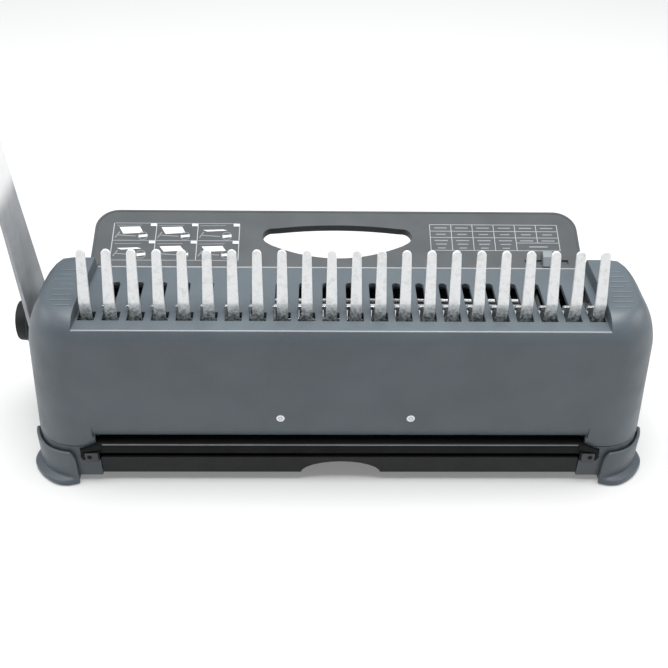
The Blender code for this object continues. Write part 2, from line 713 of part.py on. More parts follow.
def make_flap():
    """The black bar across the rear slot, on two cranked arms that turn in the brackets."""
    top = FLAP_TOP_H
    bar = [(-10, top), (-17.4, top), (-18.3, top - 0.5), (-18.6, top - 1.2), (-18.2, top - 2)]
    bar += [(-16.8, top - 3), (-16.2, 24.0), (-15.6, 22.9), (-12, 22.9)]
    pivot = (0, FLAP_PIVOT_Y, FLAP_PIVOT_H)
    black = finish("slot_flap", (0.012, 0.012, 0.014), 0.35)
    obj = node("slot_flap", prism("yz", bar, -FLAP_HALF, FLAP_HALF), black, pivot=pivot)
    inner, outer = EYE_X
    low = FLAP_PIVOT_H
    arm = [(149.5, 29.5), (149.5, top - 0.1), (153.6, top - 0.1), (outer, 28.2), (outer, low)]
    arm += [(inner, low), (inner, 26.8)]
    mirrored = [(-x, height) for x, height in reversed(arm)]
    combine(obj, merged(prism("xz", arm, -19.4, -17.3), prism("xz", mirrored, -19.4, -17.3)), "UNION")
    centre = (FLAP_PIVOT_Y, FLAP_PIVOT_H)
    pin = inner - 4.1
    profile = [(pin, 0.2), (pin, 1.2), (inner - 0.1, 1.2), (inner - 0.1, EYE_R)]
    profile += [(outer + 0.1, EYE_R), (outer + 0.1, 0.2)]
    eyes = merged(solid_turned(profile, centre, 12), solid_turned([(-x, r) for x, r in profile], centre, 12))
    combine(obj, eyes, "UNION")


def solid_turned(profile, centre, steps):
    """A turned solid whose profile starts and ends on the axis; the axis points are merged."""
    bm = turned([(profile[0][0], 0.0)] + profile[1:-1] + [(profile[-1][0], 0.0)], centre, steps)
    bmesh.ops.remove_doubles(bm, verts=bm.verts, dist=0.001)
    bmesh.ops.dissolve_degenerate(bm, dist=0.001, edges=bm.edges)
    bmesh.ops.recalc_face_normals(bm, faces=list(bm.faces))
    return bm


def make_brackets():
    for end, side in (("lever_side", -1), ("plain_side", 1)):
        low, high = sorted((side * BRACKET_X[0], side * BRACKET_X[1]))
        grey = finish(f"flap_bracket_{end}", (0.10, 0.115, 0.13), 0.55)
        body = block((low, -19.6, BRACKET_H[0]), (high, -14.6, BRACKET_H[1]))
        obj = node(f"flap_bracket_{end}", body, grey)
        low, high = sorted((side * (EYE_X[0] - 4.6), side * EYE_X[1]))
        combine(obj, rod((FLAP_PIVOT_Y, FLAP_PIVOT_H), 1.5, low, high, 12), "DIFFERENCE")


def make_drawer():
    low_h, high_h = DRAWER_H
    front, back = -16.6, 88.0
    wall = 2.0
    black = finish("chip_drawer", (0.03, 0.03, 0.032), 0.5)
    body = block((-DRAWER_HALF, front, low_h), (DRAWER_HALF, back, high_h))
    obj = node("chip_drawer", body, black, pivot=(0, front, low_h))
    side, notch_half, notch_back = DRAWER_HALF - wall, 28.5, 10.0
    inner = front + 2.4
    tray = [(-side, inner), (-notch_half, inner), (-notch_half, notch_back), (notch_half, notch_back)]
    tray += [(notch_half, inner), (side, inner), (side, back - wall), (-side, back - wall)]
    combine(obj, prism("xy", tray, low_h + wall, high_h + 5), "DIFFERENCE")
    arch = [(-25.3, low_h - 5), (25.3, low_h - 5), (25.3, low_h + 0.2)]
    for i in range(1, 12):
        x = 25.3 * math.cos(math.pi * i / 12)
        arch.append((x, low_h + 9.3 * math.sin(math.pi * i / 12) ** 1.1))
    arch.append((-25.3, low_h + 0.2))
    combine(obj, prism("xz", arch, front - 5, notch_back - 2), "DIFFERENCE")


# ---------------------------------------------------------------- paper table


def tilted(bm):
    """Turns a piece drawn level, with the hinge line as its X axis, to the table's open slope."""
    bmesh.ops.rotate(bm, verts=bm.verts, cent=(0, 0, 0), matrix=Matrix.Rotation(LID_TILT, 3, "X"))
    bmesh.ops.translate(bm, verts=bm.verts, vec=(0, LID_PIVOT_Y, LID_PIVOT_H))
    return bm


def handle_outline(grow=0.0):
    """The handle slot: a flat bow on the far side and a deep one on the near side, with round ends."""
    end_x, end_along, end_r = 49.5, 56.8, 7.0 + grow
    far, far_r, near, near_r = 67.2 + grow, 340.0, 36.8 - grow, 105.0
    points = arc((end_x, end_along), end_r, -60, 82, 6)
    points += [(x, far - x * x / (2 * far_r)) for x in (36, 18, 0, -18, -36)]
    points += arc((-end_x, end_along), end_r, 98, 240, 6)
    points += [(x, near + x * x / (2 * near_r)) for x in (-45, -30, -15, 0, 15, 30, 45)]
    return points


def make_lid():
    pivot = (0, LID_PIVOT_Y, LID_PIVOT_H)
    half, reach, corner = LID_HALF, LID_REACH, 17.0
    right = [(165.6, 3.2), (165.6, 9), (half, 24)]
    outline = right + arc((half - corner, reach - corner), corner, 0, 90, 6)
    outline += arc((corner - half, reach - corner), corner, 90, 180, 6)
    outline += [(-x, along) for x, along in reversed(right)]
    plate = prism("xy", outline, LID_N[0], LID_N[1], [handle_outline()])
    grey = finish("lid", (0.13, 0.14, 0.145), 0.5)
    obj = node("lid", tilted(plate), grey, pivot=pivot)
    knuckles = []
    for low, high in ((154.0, 165.8), (-165.8, -154.0)):
        ring = prism("yz", circle((0, 0), 4.2, 16), low, high, [circle((0, 0), 2.5, 12)])
        knuckles.append(tilted(ring))
    combine(obj, merged(*knuckles), "UNION")
    lip = prism("xy", handle_outline(HANDLE_LIP), HANDLE_LIP_N, LID_N[0] + 0.5, [handle_outline()])
    combine(obj, tilted(lip), "UNION")
    travel = GUIDE_TRAVEL + GUIDE_HALF + 0.6
    groove = [(32.4, LID_N[1] + 0.1), (31.8, GROOVE_FLOOR), (36.2, GROOVE_FLOOR), (35.6, LID_N[1] + 0.1)]
    combine(obj, tilted(prism("yz", groove, GUIDE_X - travel, GUIDE_X + travel)), "DIFFERENCE")
    steel = finish("lid_hinge_rod", (0.6, 0.6, 0.62), 0.3, 1.0)
    hinge = rod((LID_PIVOT_Y, LID_PIVOT_H), 2.2, -171.5, 171.5, 12)
    node("lid_hinge_rod", hinge, steel, pivot=pivot, smooth=True)


def make_edge_guide():
    """A sliding fence for the sheets, held in the table's dovetail groove."""
    seat = LID_N[1] + GAP
    foot = GROOVE_FLOOR + GAP
    outline = [(28.6, seat), (32.8, seat), (32.3, foot), (35.7, foot), (35.2, seat), (41.5, seat)]
    outline += [(40.9, seat + 4.6), (39.6, seat + 5.4), (34.6, seat + 5.4), (28.6, seat + 1.4)]
    fence = prism("yz", outline, GUIDE_X - GUIDE_HALF, GUIDE_X + GUIDE_HALF)
    grey = finish("edge_guide", (0.22, 0.25, 0.26), 0.45)
    middle = Vector((GUIDE_X, 34, seat))
    pivot = Matrix.Rotation(LID_TILT, 3, "X") @ middle + Vector((0, LID_PIVOT_Y, LID_PIVOT_H))
    node("edge_guide", tilted(fence), grey, pivot=pivot)


clear_scene()
MACHINE = bpy.data.objects.new("machine", None)
bpy.context.scene.collection.objects.link(MACHINE)
MACHINE.location = Vector((-CENTRE_X, -CENTRE_Y, 0)) * MM

make_upper_housing()
make_base_housing()
make_shoes()
make_side_frames()
make_bushes()
make_die_plate()
make_guide_plate()
make_punches()
make_carrier()
make_return_springs()
make_finger_plate()
make_opener_rack()
make_cranks()
make_cams()
make_shaft()
make_lever()
make_grip()
make_flap()
make_brackets()
make_drawer()
make_lid()
make_edge_guide()
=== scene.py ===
"""Looks of the comb binding machine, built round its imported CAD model.

Shapes are drawn in millimetres in the machine's own frame: X = 0 at the middle of the comb, Y = 0 at the
row of fixed fingers, Z = 0 on the desk. A piece is moved to the model's frame, in metres, when it is made.
"""

import json
import math

import bmesh
import bpy
from mathutils import Matrix, Vector

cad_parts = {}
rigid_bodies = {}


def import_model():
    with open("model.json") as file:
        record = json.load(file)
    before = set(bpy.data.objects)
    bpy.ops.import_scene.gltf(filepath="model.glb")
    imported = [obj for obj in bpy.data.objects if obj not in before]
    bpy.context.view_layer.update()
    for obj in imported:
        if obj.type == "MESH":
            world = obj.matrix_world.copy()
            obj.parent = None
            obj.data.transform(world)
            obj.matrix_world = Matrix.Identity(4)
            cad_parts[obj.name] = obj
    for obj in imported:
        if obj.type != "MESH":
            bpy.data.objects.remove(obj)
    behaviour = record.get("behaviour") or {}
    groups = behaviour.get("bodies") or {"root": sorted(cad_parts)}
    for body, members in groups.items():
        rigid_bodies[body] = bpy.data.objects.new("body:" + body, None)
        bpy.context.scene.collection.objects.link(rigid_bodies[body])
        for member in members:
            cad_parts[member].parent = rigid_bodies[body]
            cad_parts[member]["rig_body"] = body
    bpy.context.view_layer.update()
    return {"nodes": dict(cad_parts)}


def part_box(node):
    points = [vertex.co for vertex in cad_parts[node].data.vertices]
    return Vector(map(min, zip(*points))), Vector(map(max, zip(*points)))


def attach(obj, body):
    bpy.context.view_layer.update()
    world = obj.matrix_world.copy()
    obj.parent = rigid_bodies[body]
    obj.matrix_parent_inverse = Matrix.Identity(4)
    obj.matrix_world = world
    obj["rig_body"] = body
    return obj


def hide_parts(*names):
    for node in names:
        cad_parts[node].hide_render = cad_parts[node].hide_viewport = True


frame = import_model()
NODES = frame["nodes"]
MM = 0.001

# Design values shared with the CAD
COMB_PITCH = 14.2875
FINGER_COUNT = 22
FINGER_XS = [(i - (FINGER_COUNT - 1) / 2) * COMB_PITCH for i in range(FINGER_COUNT)]
FINGER_HALF = 3.25
FINGER_LEAN = math.radians(17.5)
TABLE_H = 118.6
TABLE_X = (-156.9, 155.2)
SEAM_H = 30.0
GAP = 0.3
TOP_H = 126.7
BASE_HALF = 193.85
END_DRAFT = 0.0695
END_ROUND_H = 96.9
END_ROUND_X = 12.0
END_ROUND_POWER = 1.7
SHOULDER_H = 109.9
EDGE_R = 16.5
REAR_Y = -16.9
FRONT_Y = 111.0
FRONT_BREAK_H = 66.0
FRONT_TOP_Y = 53.5
FRONT_TOP_H = 118.0
FRONT_EDGE_R = 3.0
REAR_CORNER_R = 27.6
FRONT_CORNER_R = 24.0
WALL = 2.6
SLOT_TOP_H = 38.5
SLOT_HALF = 153.2
MARK_X = {"lever_side": -37.7, "plain_side": 42.3}
MARK_H = 53.8
SHAFT_Y = 58.0
SHAFT_H = 73.0
BOSS_HOLE_R = 17.4
LEVER_LEAN = math.radians(10.0)
LEVER_LENGTH = 255.0
GRIP_START = 162.0
LEVER_X = -198.2
LEVER_T = 2.4
KNOB_X = -211.0
LID_PIVOT_Y = 118.0
LID_PIVOT_H = 47.0
LID_TILT = math.radians(22.0)
LID_HALF = 184.0
LID_REACH = 81.5
LID_N = (-0.5, 2.5)
HANDLE_LIP = 1.8
HANDLE_LIP_N = -4.5
GUIDE_X = 157.0
GUIDE_HALF = 3.6
GUIDE_TRAVEL = 12.0
GROOVE_FLOOR = 0.9
FLAP_PIVOT_H = 22.6
BRACKET_MID_X = 157.9
FLAP_TOP_H = 33.6
SHOE_REACH = 7.8
SHOE_END_REACH = 3.6
SHOE_SETBACK = 0.8
SHOE_END_SHARE = 0.1
ENDS = (("lever_side", -1), ("plain_side", 1))

ROD_LOW, ROD_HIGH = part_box("lid_hinge_rod")
FINGERS_LOW, FINGERS_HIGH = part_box("finger_plate")
ORIGIN = Vector(
    (
        (FINGERS_LOW.x + FINGERS_HIGH.x) / 2 / MM,
        (ROD_LOW.y + ROD_HIGH.y) / 2 / MM - LID_PIVOT_Y,
        0.0,
    )
)


# ---------------------------------------------------------------- camera, light and floor


def make_camera():
    """The photo's viewpoint, as fitted to it."""
    camera = bpy.data.objects.new("camera", bpy.data.cameras.new("camera"))
    bpy.context.scene.collection.objects.link(camera)
    camera.data.sensor_width = 36.0
    camera.data.lens = 51.2
    camera.location = (Vector((-16.835, -450.623, 446.623)) + ORIGIN) * MM
    down, turn, roll = (math.radians(a) for a in (37.074, 1.450, 1.068))
    ahead = Vector((math.sin(turn) * math.cos(down), math.cos(turn) * math.cos(down), -math.sin(down)))
    right = Vector((math.cos(turn), -math.sin(turn), 0.0))
    up = right.cross(ahead)
    right, up = (
        right * math.cos(roll) + up * math.sin(roll),
        up * math.cos(roll) - right * math.sin(roll),
    )
    camera.rotation_mode = "QUATERNION"
    camera.rotation_quaternion = Matrix((right, up, -ahead)).transposed().to_quaternion()
    bpy.context.scene.camera = camera


def area_light(name, place, target, width, depth, watts):
    """A white rectangular light at place, turned towards target."""
    data = bpy.data.lights.new(name, "AREA")
    data.shape = "RECTANGLE"
    data.size, data.size_y = width, depth
    data.energy = watts
    light = bpy.data.objects.new(name, data)
    bpy.context.scene.collection.objects.link(light)
    light.location = place
    light.rotation_mode = "QUATERNION"
    light.rotation_quaternion = (Vector(target) - Vector(place)).to_track_quat("-Z", "Y")


def make_studio():
    """The pale sheet under the machine, a soft sky and four lights."""
    scene = bpy.context.scene
    scene.view_settings.view_transform = "Standard"
    world = bpy.data.worlds.new("studio")
    scene.world = world
    world.use_nodes = True
    background = world.node_tree.nodes["Background"]
    background.inputs["Color"].default_value = (0.93, 0.96, 1.0, 1.0)
    background.inputs["Strength"].default_value = 0.22
    area_light("light_top", (0.0, -0.08, 1.9), (0.0, 0.0, 0.0), 1.5, 1.2, 62.0)
    area_light("light_left", (-1.4, -0.05, 0.7), (0.0, 0.05, 0.08), 0.7, 0.7, 7.0)
    area_light("light_right", (1.4, -0.05, 0.7), (0.0, 0.05, 0.08), 0.7, 0.7, 7.0)
    area_light("light_front", (0.3, 1.6, 1.2), (0.0, 0.0, 0.1), 1.0, 0.8, 2.0)

    bm = bmesh.new()
    half = 4.0
    corners = [bm.verts.new((x * half, y * half, 0.0)) for x, y in ((-1, -1), (1, -1), (1, 1), (-1, 1))]
    bm.faces.new(corners)
    mesh = bpy.data.meshes.new("floor")
    bm.to_mesh(mesh)
    bm.free()
    floor = bpy.data.objects.new("floor", mesh)
    scene.collection.objects.link(floor)
    material = bpy.data.materials.new("floor_white")
    material.use_nodes = True
    shader = material.node_tree.nodes["Principled BSDF"]
    shader.inputs["Base Color"].default_value = (0.50, 0.50, 0.50, 1.0)
    shader.inputs["Roughness"].default_value = 0.9
    shader.inputs["Emission Color"].default_value = (1.0, 1.0, 1.0, 1.0)
    shader.inputs["Emission Strength"].default_value = 0.2
    mesh.materials.append(material)


# ---------------------------------------------------------------- materials


class Finish:
    """A node material under construction: a Principled BSDF and short calls that feed it."""

    def __init__(self, name, roughness, metallic=0.0):
        self.material = bpy.data.materials.new(name)
        self.material.use_nodes = True
        self.tree = self.material.node_tree
        self.shader = self.tree.nodes["Principled BSDF"]
        self.shader.inputs["Roughness"].default_value = roughness
        self.shader.inputs["Metallic"].default_value = metallic
        self.place = self.tree.nodes.new("ShaderNodeTexCoord").outputs["Object"]
        self.normal = None

    def link(self, source, target):
        self.tree.links.new(source, target)

    def noise(self, scale, detail=3.0, stretch=(1.0, 1.0, 1.0)):
        """Cloudy values from 0 to 1, stretched along an axis where its factor is small."""
        mapping = self.tree.nodes.new("ShaderNodeMapping")
        mapping.inputs["Scale"].default_value = stretch
        self.link(self.place, mapping.inputs["Vector"])
        texture = self.tree.nodes.new("ShaderNodeTexNoise")
        texture.inputs["Scale"].default_value = scale
        texture.inputs["Detail"].default_value = detail
        self.link(mapping.outputs["Vector"], texture.inputs["Vector"])
        return texture.outputs["Fac"]

    def ramp(self, value, low, high, dark, light):
        """value from low to high becomes a number from dark to light."""
        node = self.tree.nodes.new("ShaderNodeMapRange")
        node.interpolation_type = "SMOOTHSTEP"
        self.link(value, node.inputs["Value"])
        for key, number in (("From Min", low), ("From Max", high), ("To Min", dark), ("To Max", light)):
            node.inputs[key].default_value = number
        return node.outputs["Result"]

    def mix(self, share, first, second):
        """From first to second, each a colour or another node's output."""
        node = self.tree.nodes.new("ShaderNodeMix")
        node.data_type = "RGBA"
        self.link(share, node.inputs[0])
        for socket, value in ((node.inputs[6], first), (node.inputs[7], second)):
            if isinstance(value, tuple):
                socket.default_value = (*value, 1.0)
            else:
                self.link(value, socket)
        return node.outputs[2]

    def axis(self, letter):
        """One coordinate of the point, in the object's own frame."""
        node = self.tree.nodes.new("ShaderNodeSeparateXYZ")
        self.link(self.place, node.inputs["Vector"])
        return node.outputs[letter]

    def times(self, first, second):
        """The product of two outputs."""
        node = self.tree.nodes.new("ShaderNodeMath")
        node.operation = "MULTIPLY"
        self.link(first, node.inputs[0])
        self.link(second, node.inputs[1])
        return node.outputs[0]

    def bump(self, height, depth_mm, strength):
        """Adds fine relief on top of any relief already there."""
        node = self.tree.nodes.new("ShaderNodeBump")
        node.inputs["Distance"].default_value = depth_mm * MM
        node.inputs["Strength"].default_value = strength
        self.link(height, node.inputs["Height"])
        if self.normal is not None:
            self.link(self.normal, node.inputs["Normal"])
        self.normal = node.outputs["Normal"]
        self.link(self.normal, self.shader.inputs["Normal"])

    def colour(self, output):
        self.link(output, self.shader.inputs["Base Color"])

    def roughness(self, output):
        self.link(output, self.shader.inputs["Roughness"])


def shade(colour, factor):
    """The colour made darker or lighter."""
    return tuple(min(1.0, c * factor) for c in colour)


def moulded(name, colour, roughness, spread=0.07, grain=900.0, depth=0.03, strength=0.35, gloss=0.5):
    """Moulded plastic: a fine spark texture, cloudy tone and rubbed patches."""
    finish = Finish(name, roughness)
    finish.shader.inputs["Specular IOR Level"].default_value = gloss
    cloud = finish.ramp(finish.noise(22.0, 4.0), 0.36, 0.64, 0.0, 1.0)
    toned = finish.mix(cloud, shade(colour, 1 - spread), shade(colour, 1 + spread))
    speck = finish.ramp(finish.noise(grain * 1.3, 2.0), 0.35, 0.65, 0.0, 0.5)
    finish.colour(finish.mix(speck, toned, shade(colour, 1 + 2.2 * spread)))
    rubbed_and_shade_light = finish.noise(60.0, 5.0)
    finish.roughness(finish.ramp(rubbed_and_shade_light, 0.35, 0.68, roughness - 0.06, roughness + 0.07))
    finish.bump(finish.noise(grain, 3.0), depth, strength)
    finish.bump(finish.noise(26.0, 2.0), 0.12, 0.12)
    return finish.material


def metal(name, colour, roughness, stretch, spread=0.12, scale=420.0, strength=0.12):
    """Drawn or ground steel: streaks along one direction, uneven plating and a few rubbed spots."""
    finish = Finish(name, roughness, metallic=1.0)
    streak = finish.noise(scale, 4.0, stretch)
    patch = finish.noise(70.0, 5.0)
    plated = finish.mix(finish.ramp(patch, 0.35, 0.65, 0.0, 1.0), shade(colour, 1 - spread), colour)
    drawn = finish.ramp(streak, 0.3, 0.7, 0.0, 0.7)
    finish.colour(finish.mix(drawn, plated, shade(colour, 1 - 1.4 * spread)))
    finish.roughness(finish.ramp(streak, 0.3, 0.7, roughness - 0.07, roughness + 0.1))
    finish.bump(streak, 0.02, strength)
    return finish.material


def zinc_fingers():
    """Bright zinc plate, with painted shade at the root of each finger: darker and mottled below a ragged
    line.
    """
    finish = Finish("zinc_fingers", 0.4, metallic=0.35)
    # Painted shade: below root_top the fingers turn dark, mottled between two dark tones, with a ragged
    # upper edge.
    bright, rubbed_and_shade_light, root_shade_dark = (0.94, 0.95, 0.95), (0.62, 0.66, 0.67), (0.16, 0.175, 0.18)
    root_top = (0.1185, 0.1325)
    spots = finish.noise(640.0, 5.0)
    rise = finish.ramp(finish.axis("Z"), *root_top, 0.0, 1.0)
    edge = finish.ramp(finish.noise(260.0, 3.0), 0.3, 0.7, 0.8, 1.25)
    unshaded_share = finish.times(rise, edge)
    root_shade = finish.mix(finish.ramp(spots, 0.36, 0.62, 0.0, 1.0), root_shade_dark, rubbed_and_shade_light)
    grain = finish.ramp(finish.noise(900.0, 2.0), 0.35, 0.65, 0.0, 1.0)
    fine = finish.mix(grain, shade(bright, 0.95), bright)
    finish.colour(finish.mix(unshaded_share, root_shade, fine))
    finish.roughness(finish.ramp(spots, 0.3, 0.7, 0.36, 0.46))
    finish.bump(spots, 0.02, 0.2)
    return finish.material


def lever_steel():
    """Satin plate, with a painted highlight along its upper length."""
    finish = Finish("lever_satin_steel", 0.42, metallic=0.3)
    streak = finish.noise(380.0, 4.0, (1.0, 1.0, 0.05))
    # Painted highlight: the plate turns from a grey tone to white above a set height.
    low, high = (0.44, 0.455, 0.475), (1.0, 1.0, 1.0)
    highlight_rise = (0.168, 0.186)
    cloud = finish.ramp(finish.noise(38.0, 4.0), 0.35, 0.65, 0.0, 1.0)
    cloudy = finish.mix(cloud, shade(low, 0.85), shade(low, 1.12))
    finish.colour(finish.mix(finish.ramp(finish.axis("Z"), *highlight_rise, 0.0, 1.0), cloudy, high))
    finish.roughness(finish.ramp(streak, 0.3, 0.7, 0.34, 0.5))
    finish.bump(streak, 0.02, 0.15)
    return finish.material


def make_materials():
    """Every finish by the name that the pieces use."""
    body = (0.080, 0.098, 0.112)
    raised = {"spread": 0.05, "grain": 1200.0, "strength": 0.2}
    return {
        # Painted highlight: the grip ribs are the housing plastic in a lighter colour.
        "rib": moulded("housing_rib_highlight", shade(body, 1.5), 0.4, **raised),
        # Painted highlight: the table's edge beads are the housing plastic in a much lighter colour.
        "bead": moulded("housing_bead_highlight", (0.25, 0.265, 0.28), 0.36, **raised),
        "housing": moulded("housing_plastic", body, 0.46),
        "base": moulded("base_plastic", shade(body, 0.85), 0.5),
        "shoe": moulded("shoe_plastic", shade(body, 0.9), 0.44, grain=1100.0),
        "table": moulded("table_plastic", (0.062, 0.069, 0.073), 0.5, 0.05, 1200.0, gloss=0.2),
        "guide": moulded("guide_plastic", (0.17, 0.195, 0.205), 0.42, 0.05),
        "black": moulded("black_plastic", (0.005, 0.0055, 0.006), 0.5, 0.2, strength=0.2, gloss=0.1),
        # Painted highlight: the flap's nose line is the black plastic in a lighter grey.
        "flap_nose_highlight": moulded("flap_nose_highlight", (0.17, 0.175, 0.185), 0.4, 0.12, strength=0.1),
        "drawer": moulded("drawer_plastic", (0.018, 0.0187, 0.0195), 0.5, 0.14, gloss=0.2),
        "rubber": moulded("pad_rubber", (0.018, 0.018, 0.018), 0.82, 0.2, 500.0, strength=0.6),
        "grip": moulded("grip_rubber", (0.014, 0.014, 0.015), 0.68, 0.15, 700.0, strength=0.6),
        "bracket": moulded("bracket_plastic", (0.040, 0.041, 0.044), 0.5),
        "ink": moulded("print_white", (0.60, 0.62, 0.63), 0.6, 0.05, strength=0.1),
        "mark": moulded("mark_white", (0.90, 0.91, 0.92), 0.6, 0.03, strength=0.1),
        "ink_line": moulded("print_line", (0.33, 0.345, 0.36), 0.6, 0.06, strength=0.1),
        "ink_faint": moulded("print_faint", (0.20, 0.21, 0.225), 0.6, 0.06, strength=0.1),
        "fingers": zinc_fingers(),
        "rack": metal("zinc_rack", (0.82, 0.84, 0.85), 0.3, (0.08, 1.0, 1.0)),
        "tool": metal("ground_tool_steel", (0.50, 0.51, 0.52), 0.3, (0.05, 1.0, 1.0)),
        "frame": metal("frame_steel", (0.46, 0.47, 0.48), 0.42, (1.0, 0.08, 1.0)),
        "shaft": metal("drawn_steel", (0.60, 0.61, 0.62), 0.26, (0.03, 1.0, 1.0)),
        "brass": metal("turned_brass", (0.72, 0.54, 0.27), 0.32, (1.0, 0.2, 0.2)),
        "lever": lever_steel(),
    }


# ---------------------------------------------------------------- mesh tools


def arc(centre, radius, start, end, steps):
    """Points on an arc from start to end degrees, both ends included."""
    angles = [math.radians(start + (end - start) * i / steps) for i in range(steps + 1)]
    return [(centre[0] + radius * math.cos(a), centre[1] + radius * math.sin(a)) for a in angles]


def circle(centre, radius, steps):
    """Points round a full circle, without a repeated last one."""
    return arc(centre, radius, 0.0, 360.0, steps)[:-1]


def rectangle(low, high):
    """The four corners, counterclockwise."""
    return [(low[0], low[1]), (high[0], low[1]), (high[0], high[1]), (low[0], high[1])]


def lift(plane, a, b, c):
    """The point (a, b) of a plane, at height c above it."""
    if plane == "xy":
        return Vector((a, b, c))
    if plane == "xz":
        return Vector((a, c, b))
    return Vector((c, a, b))


def prism(plane, outline, low, high, holes=()):
    """A bmesh of an outline, with holes, extruded from low to high."""
    bm = bmesh.new()
    edges = []
    for loop in (outline, *holes):
        verts = [bm.verts.new(lift(plane, a, b, low)) for a, b in loop]
        edges += [bm.edges.new((v, verts[i - 1])) for i, v in enumerate(verts)]
    if holes:
        bmesh.ops.triangle_fill(bm, use_beauty=True, edges=edges)
    else:
        bmesh.ops.contextual_create(bm, geom=edges)
    grown = bmesh.ops.extrude_face_region(bm, geom=list(bm.faces))
    moved = [g for g in grown["geom"] if isinstance(g, bmesh.types.BMVert)]
    bmesh.ops.translate(bm, verts=moved, vec=lift(plane, 0, 0, high - low))
    bmesh.ops.recalc_face_normals(bm, faces=list(bm.faces))
    return bm


def block(low, high):
    """A box between two corners."""
    return prism("xy", rectangle(low, high), low[2], high[2])


def merged(*parts):
    """Several bmeshes as one."""
    bm = bmesh.new()
    for part in parts:
        mesh = bpy.data.meshes.new("merge")
        part.to_mesh(mesh)
        bm.from_mesh(mesh)
        bpy.data.meshes.remove(mesh)
        part.free()
    return bm


def loft(sections):
    """A closed skin over sections of equal point count, capped at both ends."""
    bm = bmesh.new()
    rings = [[bm.verts.new(p) for p in section] for section in sections]
    for lower, upper in zip(rings, rings[1:]):
        for i in range(len(lower)):
            bm.faces.new((lower[i - 1], lower[i], upper[i], upper[i - 1]))
    bm.faces.new(list(reversed(rings[0])))
    bm.faces.new(rings[-1])
    bmesh.ops.recalc_face_normals(bm, faces=list(bm.faces))
    return bm


def turned(profile, centre, steps):
    """A closed profile of (x, radius) points turned about the X line through centre (y, z)."""
    bm = bmesh.new()
    rings = []
    for step in range(steps):
        angle = 2 * math.pi * step / steps
        side, up = math.cos(angle), math.sin(angle)
        rings.append([bm.verts.new((x, centre[0] + r * side, centre[1] + r * up)) for x, r in profile])
    for i in range(steps):
        near, far = rings[i - 1], rings[i]
        for j in range(len(profile)):
            bm.faces.new((near[j - 1], near[j], far[j], far[j - 1]))
    bmesh.ops.recalc_face_normals(bm, faces=list(bm.faces))
    return bm


def carve(bm, *steps):
    """The solid after each (operation, cutter) of steps."""
    made = []

    def loose(name, source):
        mesh = bpy.data.meshes.new(name)
        source.to_mesh(mesh)
        source.free()
        obj = bpy.data.objects.new(name, mesh)
        bpy.context.scene.collection.objects.link(obj)
        made.append(obj)
        return obj

    base = loose("carve", bm)
    for operation, cutter in steps:
        modifier = base.modifiers.new("cut", "BOOLEAN")
        modifier.operation = operation
        modifier.solver = "EXACT"
        modifier.object = loose("cutter", cutter)
    bpy.context.view_layer.update()
    graph = bpy.context.evaluated_depsgraph_get()
    mesh = bpy.data.meshes.new_from_object(base.evaluated_get(graph))
    result = bmesh.new()
    result.from_mesh(mesh)
    bpy.data.meshes.remove(mesh)
    for obj in made:
        data = obj.data
        bpy.data.objects.remove(obj)
        bpy.data.meshes.remove(data)
    bmesh.ops.remove_doubles(result, verts=result.verts, dist=0.004)
    bmesh.ops.dissolve_limit(result, angle_limit=math.radians(0.25), verts=result.verts, edges=result.edges)
    return result


def piece(name, bm, material, body, replaces=(), bevel=0.0, angle=32.0, segments=2, metres=False):
    """Makes a piece that rides on body. Edges sharper than angle get a rounded bevel of that width in mm."""
    if not metres:
        for vert in bm.verts:
            vert.co = (vert.co + ORIGIN) * MM
    mesh = bpy.data.meshes.new(name)
    bm.to_mesh(mesh)
    bm.free()
    mesh.materials.append(MATERIALS[material])
    mesh.shade_smooth()
    obj = bpy.data.objects.new(name, mesh)
    bpy.context.scene.collection.objects.link(obj)
    if bevel:
        rounding = obj.modifiers.new("rounding", "BEVEL")
        rounding.width = bevel * MM
        rounding.segments = segments
        rounding.limit_method = "ANGLE"
        rounding.angle_limit = math.radians(angle)
        rounding.use_clamp_overlap = False
        weighted = obj.modifiers.new("normals", "WEIGHTED_NORMAL")
        weighted.weight = 50
    else:
        mesh.set_sharp_from_angle(angle=math.radians(angle))
    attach(obj, body)
    if replaces:
        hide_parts(*replaces)


def refined(node, material, bevel=0.3, angle=30.0, segments=2):
    """A CAD node's own shape with its edges rounded."""
    bm = bmesh.new()
    bm.from_mesh(NODES[node].data)
    bmesh.ops.remove_doubles(bm, verts=bm.verts, dist=0.002 * MM)
    bmesh.ops.dissolve_limit(bm, angle_limit=math.radians(0.6), verts=bm.verts, edges=bm.edges)
    body = NODES[node]["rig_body"]
    piece(f"{node}_finished", bm, material, body, (node,), bevel, angle, segments, metres=True)


def carried(node, material):
    """A CAD node that is shown as it is, in a better material."""
    mesh = NODES[node].data
    mesh.materials.clear()
    mesh.materials.append(MATERIALS[material])


# ---------------------------------------------------------------- casing


def casing_ring(half, rear, front, rear_r, front_r, height):
    """A rounded rectangle in plan, counterclockwise."""
    steps = 10
    points = arc((half - rear_r, rear + rear_r), rear_r, -90, 0, steps)
    points += arc((half - front_r, front - front_r), front_r, 0, 90, steps)
    points += arc((-half + front_r, front - front_r), front_r, 90, 180, steps)
    points += arc((-half + rear_r, rear + rear_r), rear_r, 180, 270, steps)
    return [Vector((x, y, height)) for x, y in points]


def half_width(height):
    """Half the casing's length: a straight draft, then the soft rounding of the end blocks."""
    share = min(1.0, max(0.0, (height - END_ROUND_H) / (TOP_H - END_ROUND_H)))
    rounding = END_ROUND_X * (1 - (1 - share**END_ROUND_POWER) ** (1 / END_ROUND_POWER))
    return BASE_HALF - END_DRAFT * (height - SEAM_H) - rounding


def front_line(height):
    """The front face: upright at the paper slot, then sloping back to the comb table."""
    if height <= FRONT_BREAK_H:
        return FRONT_Y
    share = min(1.0, (height - FRONT_BREAK_H) / (FRONT_TOP_H - FRONT_BREAK_H))
    return FRONT_Y + (FRONT_TOP_Y - FRONT_Y) * share


